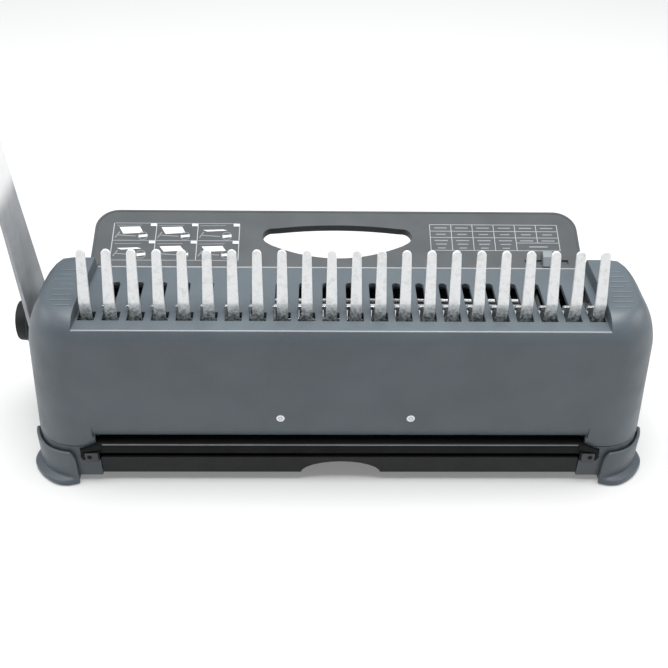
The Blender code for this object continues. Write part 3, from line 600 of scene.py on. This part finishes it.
def casing_skin():
    """The casing's outside, with its rounded upper edge."""
    rings = []
    below = (SEAM_H + GAP, 48.0, FRONT_BREAK_H, 78.0, 90.0, END_ROUND_H)
    for height in (*below, 99.5, 102.0, 104.5, 107.2, SHOULDER_H):
        front = front_line(height)
        rings.append(casing_ring(half_width(height), REAR_Y, front, REAR_CORNER_R, FRONT_CORNER_R, height))
    rounds = 14
    for i in range(1, rounds + 1):
        turn = math.pi / 2 * i / rounds
        height = SHOULDER_H + (TOP_H - SHOULDER_H) * math.sin(turn)
        inset = EDGE_R * (1 - math.cos(turn))
        front = front_line(height) - FRONT_EDGE_R * (1 - math.cos(turn))
        radii = (REAR_CORNER_R - inset, FRONT_CORNER_R - inset)
        rings.append(casing_ring(half_width(height), REAR_Y + inset, front, *radii, height))
    return loft(rings)


def casing_hollow():
    """The casing's inside, open below and closed by the comb table above."""
    inner_r = (REAR_CORNER_R - WALL, FRONT_CORNER_R - WALL)
    rings = []
    for height, front_wall in ((SEAM_H - 5, WALL), (FRONT_BREAK_H - 2, WALL), (106.0, 3.5)):
        half = half_width(height) - WALL
        rings.append(casing_ring(half, REAR_Y + WALL, front_line(height) - front_wall, *inner_r, height))
    roof_h = TABLE_H - 3
    rings.append(casing_ring(half_width(roof_h) - 6, REAR_Y + 6.5, 51.0, 20.0, 16.0, roof_h))
    return loft(rings)


def table_recess():
    """The room over the comb table, a little narrower towards the user."""
    near, turn, far = REAR_Y - 40, REAR_Y, 51.0
    left_flare, right_flare = 3.4, 1.5
    left, right = TABLE_X[0] + left_flare, TABLE_X[1] - right_flare
    outline = [(TABLE_X[0], turn), (TABLE_X[0], near), (TABLE_X[1], near), (TABLE_X[1], turn)]
    outline += [(right, far), (right, far + 40), (left, far + 40), (left, far)]
    return prism("xy", outline, TABLE_H, TABLE_H + 35)


def finger_mouth(x):
    """The opening of the first finger, which has no hook beside it."""
    return block((x - 5.1, -4.0, TABLE_H - 6), (x + 4.6, 4.6, TABLE_H + 4))


def comb_slot(x):
    """The wide mouth of a fixed finger, and the narrow round-ended track of its hook."""
    outline = [(x - 5.1, -4.0), (x + 4.6, -4.0), (x + 4.6, 4.6), (x - 0.3, 4.6)]
    outline += arc((x - 2.7, 33.6), 2.4, 0, 180, 10)
    return prism("xy", outline, TABLE_H - 6, TABLE_H + 4)


def slot_lead_in():
    """The cove that leads a sheet down into the rear slot."""
    high, depth, steps = 47.5, 1.9, 10
    outline = [(REAR_Y - 8, SLOT_TOP_H - 1.5), (REAR_Y + depth, SLOT_TOP_H - 1.5)]
    for i in range(steps + 1):
        share = i / steps
        outline.append((REAR_Y + depth * (1 - share) ** 2 - 0.02, SLOT_TOP_H + (high - SLOT_TOP_H) * share))
    outline.append((REAR_Y - 8, high))
    return prism("yz", outline, -154.6, 154.6)


def make_casing():
    """The two halves of the casing, with the slots, grooves, beads and ribs on them."""
    shell = carve(
        casing_skin(),
        ("DIFFERENCE", casing_hollow()),
        ("DIFFERENCE", table_recess()),
        ("DIFFERENCE", merged(finger_mouth(FINGER_XS[0]), *[comb_slot(x) for x in FINGER_XS[1:]])),
        ("DIFFERENCE", block((-SLOT_HALF, -30, SEAM_H - 2), (SLOT_HALF, -10, SLOT_TOP_H))),
        ("DIFFERENCE", slot_lead_in()),
        ("DIFFERENCE", block((-160, 100, 44.5), (160, 120, 56))),
        ("DIFFERENCE", prism("yz", circle((SHAFT_Y, SHAFT_H), BOSS_HOLE_R, 48), -205, -180)),
    )
    piece("casing_shell", shell, "housing", "machine", ("upper_housing",), bevel=0.45, angle=35.0)
    refined("base_housing", "base", bevel=0.4)
    make_table_beads()
    make_grip_ribs()


def make_table_beads():
    """A fine bead along both long edges of the comb table, in a much lighter colour that paints a highlight
    on it.
    """
    beads = []
    for y, radius, short in ((-14.2, 0.55, 0.5), (52.4, 0.7, 3.9)):
        low, high = TABLE_X[0] + short, TABLE_X[1] - short
        beads.append(prism("yz", circle((y, TABLE_H - 0.1), radius, 12), low, high))
    piece("table_edge_beads", merged(*beads), "bead", "machine")


def make_grip_ribs():
    """Fine raised lines across each end block, slightly fanned and of uneven length, in a lighter colour
    that paints a highlight on them.
    """
    width, rise = 0.5, 0.22
    first_y, spacing = 36.6, 5.3
    reach = (-1.4, 0.0, 1.6, -2.2, 1.8, 1.0, 2.0, -0.8)
    for end, side in ENDS:
        lines = []
        for i, extra in enumerate(reach):
            y = first_y - spacing * i
            low, high = 158.6 + 0.1 * y, 168.4 + 0.13 * y + extra
            foot = TOP_H - 0.2
            profile = [(y - width, foot), (y + width, foot)]
            profile += arc((y, foot + 0.2), width, 0, 180, 6)
            profile = [(a, min(b, TOP_H + rise)) for a, b in profile]
            lines.append(prism("yz", profile, *sorted((side * low, side * high))))
        piece(f"grip_ribs_{end}", merged(*lines), "rib", "machine")


def shoe_top(share):
    """Height of a shoe's upper edge: level, with both ends rounded down."""
    end_h, top_h, dip, corner = 17.0, 26.4, 1.4, SHOE_END_SHARE
    from_end = 0.5 - abs(share - 0.5)
    top = top_h - dip * 2 * from_end
    if from_end < corner:
        top = end_h + (top - end_h) * math.sqrt(1 - (1 - from_end / corner) ** 2)
    return top


def shoe_reach(share):
    """Distance from the wall to the flange's edge, drawn in at both ends."""
    inward = min(1.0, (0.5 - abs(share - 0.5)) / 0.3)
    return SHOE_END_REACH + (SHOE_REACH - SHOE_END_REACH) * math.sin(math.pi / 2 * inward)


def shoe_stations():
    """Shares along a shoe, close together at its rounded ends."""
    ends = [SHOE_END_SHARE * (1 - math.cos(math.pi / 2 * i / 14)) for i in range(14)]
    middle = [SHOE_END_SHARE + 0.8 * i / 40 for i in range(41)]
    return ends + middle + [1 - share for share in reversed(ends)]


def make_shoe(name, side_x, side_y):
    """A corner shoe: a thin wall with a rounded lip over a crisp flange."""
    corner_r = REAR_CORNER_R if side_y < 0 else FRONT_CORNER_R
    wall_y = REAR_Y if side_y < 0 else FRONT_Y
    centre = Vector((side_x * (BASE_HALF - corner_r), wall_y - side_y * corner_r))
    first = SHOE_SETBACK / corner_r
    sections = []
    for share in shoe_stations():
        turn = first + (math.pi / 2 - 2 * first) * share
        outward = Vector((math.sin(turn), math.cos(turn)))
        top, reach = shoe_top(share), shoe_reach(share)
        outer, inner = 2.9, 0.8
        shelf = outer + (reach - outer) * 0.3
        profile = [(-13, 2.6), (1.8, 2.6), (1.8, 0.6), (reach - 0.6, 0.6), (reach - 0.15, 0.9)]
        profile += [(reach, 1.5), (reach, 3.1), (reach - 0.15, 3.8), (reach - 0.55, 4.4), (shelf, 5.1)]
        profile += [(3.15, 5.5), (2.95, 5.9), (outer, 6.6), (outer, top - 1.2)]
        profile += [(2.75, top - 0.5), (2.35, top - 0.1), (1.9, top), (1.2, top), (0.9, top - 0.3)]
        profile += [(inner, top - 0.8), (inner, 4.6), (-13, 4.6)]
        section = []
        for offset, height in profile:
            spot = outward * (corner_r + offset)
            section.append(Vector((centre.x + side_x * spot.x, centre.y + side_y * spot.y, height)))
        sections.append(section)
    piece(f"{name}_skin", loft(sections), "shoe", "machine", (name,), angle=42.0)


def make_feet():
    """A corner shoe with its rubber pad at each corner."""
    for end, side_x in ENDS:
        for edge, side_y in (("rear", -1), ("front", 1)):
            make_shoe(f"corner_shoe_{edge}_{end}", side_x, side_y)
            refined(f"foot_pad_{edge}_{end}", "rubber", bevel=0.4)


def make_marks():
    """Two printed discs over the two-hole punches, each with a small ring."""
    for end, x in MARK_X.items():
        centre = (x, MARK_H)
        disc = prism("xz", circle(centre, 2.55, 40), REAR_Y - 0.12, REAR_Y + 0.2)
        piece(f"hole_mark_{end}", disc, "mark", "machine", bevel=0.05)
        ring = prism("xz", circle(centre, 1.25, 28), REAR_Y - 0.16, REAR_Y, [circle(centre, 0.9, 28)])
        piece(f"hole_mark_ring_{end}", ring, "ink_line", "machine")


# ---------------------------------------------------------------- fingers, rack, inside


def bend_fingers(bm, bend_h):
    """Bends the upright sheet towards the user round a small radius at bend_h."""
    lean, radius, steps = FINGER_LEAN, 5.0, 6
    start = bend_h - radius * math.tan(lean / 2)
    for i in range(steps + 1):
        height = start + radius * lean * i / steps
        everything = list(bm.verts) + list(bm.edges) + list(bm.faces)
        bmesh.ops.bisect_plane(bm, geom=everything, plane_co=(0, 0, height), plane_no=(0, 0, 1))
    for vert in bm.verts:
        rise = vert.co.z - start
        if rise <= 0:
            continue
        turn = min(lean, rise / radius)
        rest = max(0.0, rise - radius * lean)
        middle_y = radius * (1 - math.cos(turn)) + rest * math.sin(turn)
        middle_z = start + radius * math.sin(turn) + rest * math.cos(turn)
        thick = vert.co.y
        vert.co.y = middle_y + thick * math.cos(turn)
        vert.co.z = middle_z - thick * math.sin(turn)


def make_fingers():
    """The row of fixed fingers, one bent sheet with a foot, and the rack of hooks beside them."""
    bend_h = TABLE_H + 10
    flat_top = bend_h + 31.5
    row_half, row_low, row_high = 167.5, 92, 112
    tip_r = 2.6
    outline = [(-row_half, row_low), (row_half, row_low), (row_half, row_high)]
    for x in reversed(FINGER_XS):
        outline += [(x + FINGER_HALF, row_high), (x + FINGER_HALF, bend_h)]
        outline += arc((x, flat_top - tip_r), tip_r, 0, 180, 18)
        outline += [(x - FINGER_HALF, bend_h), (x - FINGER_HALF, row_high)]
    outline.append((-row_half, row_high))
    bm = prism("xz", outline, -1.0, 1.0)
    bend_fingers(bm, bend_h)
    row = carve(bm, ("UNION", block((-150, 0.2, 92.0), (150, 42, 94.0))))
    piece("finger_row", row, "fingers", "machine", ("finger_plate",), bevel=0.22, angle=40.0)
    refined("opener_rack", "rack", bevel=0.18)


def make_inside():
    """The works inside, shown as in the CAD."""
    for node in NODES:
        if node.startswith(("comb_punch", "hole_punch", "die_plate", "guide_plate")):
            carried(node, "tool")
        elif node.startswith(("side_frame", "punch_", "opener_crank")):
            carried(node, "frame")
        elif node.startswith(("return_spring", "drive_shaft", "lid_hinge_rod")):
            carried(node, "shaft")
        elif node.startswith("shaft_bush"):
            carried(node, "brass")


# ---------------------------------------------------------------- lever


def leaning(bm):
    """Turns a piece drawn upright to the lever's rest position."""
    centre = Vector((0, SHAFT_Y, SHAFT_H))
    bmesh.ops.rotate(bm, verts=bm.verts, cent=centre, matrix=Matrix.Rotation(LEVER_LEAN, 3, "X"))
    return bm


def lever_half_width(along):
    """Half the lever's width at a distance above the shaft."""
    return 21.5 - 5.5 * min(1.0, along / 90) - 4.0 * min(1.0, max(0.0, along - 90) / 120)


def make_lever():
    """The lever with its collar, knob and grip."""
    hub = (SHAFT_Y, SHAFT_H)
    hub_r, tip_r = 21.5, 12.0
    outline = arc(hub, hub_r, 180, 360, 36)
    for along in (90, 210):
        outline.append((SHAFT_Y + lever_half_width(along), SHAFT_H + along))
    outline += arc((SHAFT_Y, SHAFT_H + LEVER_LENGTH - tip_r), tip_r, 0, 180, 20)
    for along in (210, 90):
        outline.append((SHAFT_Y - lever_half_width(along), SHAFT_H + along))
    plate = leaning(prism("yz", outline, LEVER_X, LEVER_X + LEVER_T, [circle(hub, 6.3, 32)]))
    bmesh.ops.dissolve_limit(plate, angle_limit=math.radians(0.2), verts=plate.verts, edges=plate.edges)
    piece("lever_plate", plate, "lever", "lever", ("lever_arm",), bevel=0.3)
    make_collar(hub)
    make_knob(hub)
    make_grip()


def make_collar(hub):
    """The spacer ring between the lever and the casing."""
    inner = LEVER_X + LEVER_T + GAP
    profile = [(inner, 6.3), (inner, 16.4), (inner + 0.6, 17.0), (inner + 4.9, 17.0), (inner + 5.5, 16.4)]
    profile += [(inner + 5.5, 6.3)]
    collar = turned(profile, hub, 64)
    piece("lever_collar_ring", collar, "black", "lever", ("lever_collar",), angle=40.0)


def make_knob(hub):
    """The stepped cap over the shaft's end, hollow at its middle."""
    outer = LEVER_X - GAP
    face = outer - 4.0
    profile = [(outer, 6.4), (outer, 17.8), (outer - 0.4, 18.2), (face + 0.5, 18.2), (face, 17.7)]
    profile += [(face - 0.2, 14.2), (face - 0.6, 13.7), (KNOB_X + 1.6, 13.2), (KNOB_X + 0.45, 12.7)]
    profile += [(KNOB_X, 11.6), (KNOB_X, 8.0), (KNOB_X + 0.7, 7.4), (KNOB_X + 0.7, 3.4)]
    profile += [(KNOB_X + 1.1, 3.0), (outer - 1.8, 3.0), (outer - 1.8, 6.4)]
    knob = turned(profile, hub, 64)
    piece("lever_knob_cap", knob, "drawer", "lever", ("lever_knob",), angle=40.0)


def grip_size(rise):
    """Half the grip's thickness and width at a rise above its lower end, before it is stretched."""
    stations = ((0, 8.6, 17.5), (3, 9.8, 18.6), (30, 10.4, 18.0))
    stations += ((80, 10.8, 18.8), (100, 9.4, 16.5), (104, 6.0, 12.0))
    for (low, x0, y0), (high, x1, y1) in zip(stations, stations[1:]):
        if rise <= high:
            share = (rise - low) / (high - low)
            return x0 + (x1 - x0) * share, y0 + (y1 - y0) * share
    return stations[-1][1:]


def make_grip():
    """A soft sleeve with shallow finger grooves over the lever's upper end."""
    start, end = GRIP_START, LEVER_LENGTH + 7
    drawn_length, around = 104, 48
    scale = (end - start) / drawn_length
    sections = []
    for rise in range(drawn_length + 1):
        half_x, half_y = grip_size(rise)
        groove = 0.35 if 22 < rise < 84 and rise % 8 == 0 else 0.0
        points = []
        for j in range(around):
            angle = 2 * math.pi * j / around
            side, up = math.cos(angle), math.sin(angle)
            x = (half_x - groove) * math.copysign(abs(side) ** 0.7, side)
            y = (half_y - groove) * math.copysign(abs(up) ** 0.7, up)
            points.append(Vector((LEVER_X + LEVER_T / 2 + x, SHAFT_Y + y, SHAFT_H + start + rise * scale)))
        sections.append(points)
    reach = lever_half_width(start) + 0.5
    low = (LEVER_X - 0.4, SHAFT_Y - reach, SHAFT_H + start - 5)
    high = (LEVER_X + LEVER_T + 0.4, SHAFT_Y + reach, SHAFT_H + LEVER_LENGTH + 0.5)
    sleeve = carve(leaning(loft(sections)), ("DIFFERENCE", leaning(block(low, high))))
    piece("lever_sleeve", sleeve, "grip", "lever", ("lever_grip",), angle=50.0)


# ---------------------------------------------------------------- flap, drawer, table


def make_rear():
    """The flap with a painted highlight line on its nose, its brackets with painted shade in their holes,
    and the drawer.
    """
    refined("slot_flap", "black", bevel=0.35, segments=3)
    # Painted highlight: a thin pale rod along the flap's nose.
    nose = prism("yz", circle((-18.42, FLAP_TOP_H - 0.75), 0.32, 10), -149.0, 149.0)
    piece("flap_nose_painted_highlight", nose, "flap_nose_highlight", "flap")
    refined("chip_drawer", "drawer", bevel=0.35)
    for end, side in ENDS:
        refined(f"flap_bracket_{end}", "bracket", bevel=0.3)
        # Painted shade: a thin black disc on each bracket's face stands for the dark inside of its hole.
        hole = prism("xz", circle((side * BRACKET_MID_X, FLAP_PIVOT_H + 0.6), 1.5, 24), -19.75, -19.4)
        piece(f"bracket_hole_painted_shade_{end}", hole, "black", "machine")


def tilted(bm):
    """Turns a piece drawn level, with the hinge line as its X axis, to the table's open slope."""
    bmesh.ops.rotate(bm, verts=bm.verts, cent=(0, 0, 0), matrix=Matrix.Rotation(LID_TILT, 3, "X"))
    bmesh.ops.translate(bm, verts=bm.verts, vec=(0, LID_PIVOT_Y, LID_PIVOT_H))
    return bm


def lid_outline(inset=0.0):
    """The table's outline, narrower at its hinge."""
    half, reach, corner, hinge_half = LID_HALF, LID_REACH, 17.0, 165.6
    right = [(hinge_half - inset, 3.2 + inset), (hinge_half - inset, 9 + inset * 0.4)]
    right.append((half - inset, 24 + inset * 0.4))
    outline = right + arc((half - corner, reach - corner), corner - inset, 0, 90, 14)
    outline += arc((corner - half, reach - corner), corner - inset, 90, 180, 14)
    return outline + [(-x, along) for x, along in reversed(right)]


def handle_outline(grow=0.0):
    """The handle slot: a flat bow on the far side and a deep one on the near side, with round ends."""
    end_x, end_along, end_r = 49.5, 56.8, 7.0 + grow
    far, far_r, near, near_r = 67.2 + grow, 340.0, 36.8 - grow, 105.0
    points = arc((end_x, end_along), end_r, -60, 82, 16)
    points += [(x, far - x * x / (2 * far_r)) for x in range(45, -46, -5)]
    points += arc((-end_x, end_along), end_r, 98, 240, 16)
    points += [(x, near + x * x / (2 * near_r)) for x in range(-50, 51, 4)]
    return points


def make_table():
    """The folding table with its handle slot, hinge knuckles, groove and edge guide."""
    travel = GUIDE_TRAVEL + GUIDE_HALF + 0.6
    groove = [(32.4, LID_N[1] + 0.1), (31.8, GROOVE_FLOOR), (36.2, GROOVE_FLOOR), (35.6, LID_N[1] + 0.1)]
    groove = tilted(prism("yz", groove, GUIDE_X - travel, GUIDE_X + travel))
    plate = tilted(prism("xy", lid_outline(), LID_N[0], LID_N[1], [handle_outline()]))
    lip = tilted(prism("xy", handle_outline(HANDLE_LIP), HANDLE_LIP_N, LID_N[0] + 0.5, [handle_outline()]))
    knuckles = []
    for low, high in ((154.0, 165.8), (-165.8, -154.0)):
        knuckles.append(tilted(prism("yz", circle((0, 0), 4.2, 32), low, high, [circle((0, 0), 2.5, 24)])))
    board = carve(plate, ("UNION", merged(*knuckles)), ("UNION", lip), ("DIFFERENCE", groove))
    piece("table_board", board, "table", "table", ("lid",), bevel=0.55, segments=3)
    rim = prism("xy", lid_outline(0.9), LID_N[1] - 0.1, LID_N[1] + 0.3, [list(reversed(lid_outline(2.0)))])
    piece("table_rim", tilted(rim), "table", "table", bevel=0.12)
    refined("edge_guide", "guide", bevel=0.3)
    make_print()


def stroke(a, b, width):
    """A thin printed line between two points of the table's face."""
    a, b = Vector(a), Vector(b)
    along = (b - a).normalized() * width / 2
    side = Vector((-along.y, along.x))
    a, b = a - along, b + along
    return [tuple(p) for p in (a - side, b - side, b + side, a + side)]


def printed(name, shapes, material):
    """One piece of flat printed shapes, on the table's face."""
    parts = [prism("xy", shape, LID_N[1] - 0.02, LID_N[1] + 0.06) for shape in shapes]
    piece(name, tilted(merged(*parts)), material, "table")


def print_pictograms(lines, solid, fine):
    """Six framed panels, each with a sheet, a tab and a few curved strokes."""
    columns, rows = (-169.7, -137.4, -106.0, -74.4), (34.0, 52.2, 68.5)
    lines += [stroke((x, rows[0]), (x, rows[-1]), 0.6) for x in columns]
    fine += [stroke((columns[0], y), (columns[-1], y), 0.6) for y in rows]
    for i in range(3):
        for j in range(2):
            left, right = columns[i], columns[i + 1]
            low, high = rows[j], rows[j + 1]
            solid.append(rectangle((right - 4.6, high - 2.6), (right - 0.2, high - 0.2)))
            x, y = (left + right) / 2 - 3, (low + high) / 2 + 1.5
            tall = (3.4 if j else 2.7) if (i + j) % 3 else 1.0
            sheet = [(x - 5.5, y - tall), (x + 9.5, y - tall + 1.0), (x + 6.5, y + tall)]
            solid.append(sheet + [(x - 9.0, y + tall - 0.6)])
            solid.append(stroke((x + 7.5, y - 5.6), (x + 12.0, y - 5.0), 2.2))
            ring = arc((x + 9.5, y - 5.3), 3.6, 0, 360, 20)
            fine += [stroke(a, b, 0.5) for a, b in zip(ring, ring[1:])]
            fine.append(stroke((x - 11, y - 6.6), (x - 8.5, y - 2.0), 0.8))
            fine.append(stroke((x - 10, y - 4.6), (x + 4.0, y - 5.6), 0.7))
            fine.append(stroke((x - 11, y + 4.4), (x + 8.0, y + 4.8), 0.4))


def print_chart(lines, fine):
    """A ruled chart of six columns, with plain strokes in its cells."""
    columns = 6
    left, right, low, high, split = 70.8, 168.6, 44.4, 68.6, 51.6
    for k in range(columns + 1):
        x = left + (right - left) * k / columns
        lines.append(stroke((x, high), (x, split if k == 5 else low), 0.5))
    for y in (high, 62.4, 56.4, low):
        lines.append(stroke((left, y), (right, y), 0.4))
    lines.append(stroke((left + (right - left) * 4 / columns, split), (right, split), 0.4))
    for k in range(columns):
        x = left + (right - left) * (k + 0.5) / columns
        for y, half in ((65.5, 4.4), (59.4, 3.2), (53.6, 4.6), (50.2, 3.6), (46.6, 2.4)):
            if k > 3 and y < split:
                continue
            fine.append(stroke((x - half, y), (x + half, y), 0.9))
    fine.append(stroke((146.0, 48.0), (159.0, 48.0), 1.1))


def make_print():
    """Generic printed panels: six pictograms on the left, an unlettered chart on the right."""
    lines, solid, fine = [], [], []
    print_pictograms(lines, solid, fine)
    print_chart(lines, fine)
    printed("table_print_lines", lines, "ink_line")
    printed("table_print_solid", solid, "ink")
    printed("table_print_fine", fine, "ink_faint")


make_camera()
make_studio()
MATERIALS = make_materials()
make_casing()
make_feet()
make_marks()
make_fingers()
make_inside()
make_lever()
make_rear()
make_table()
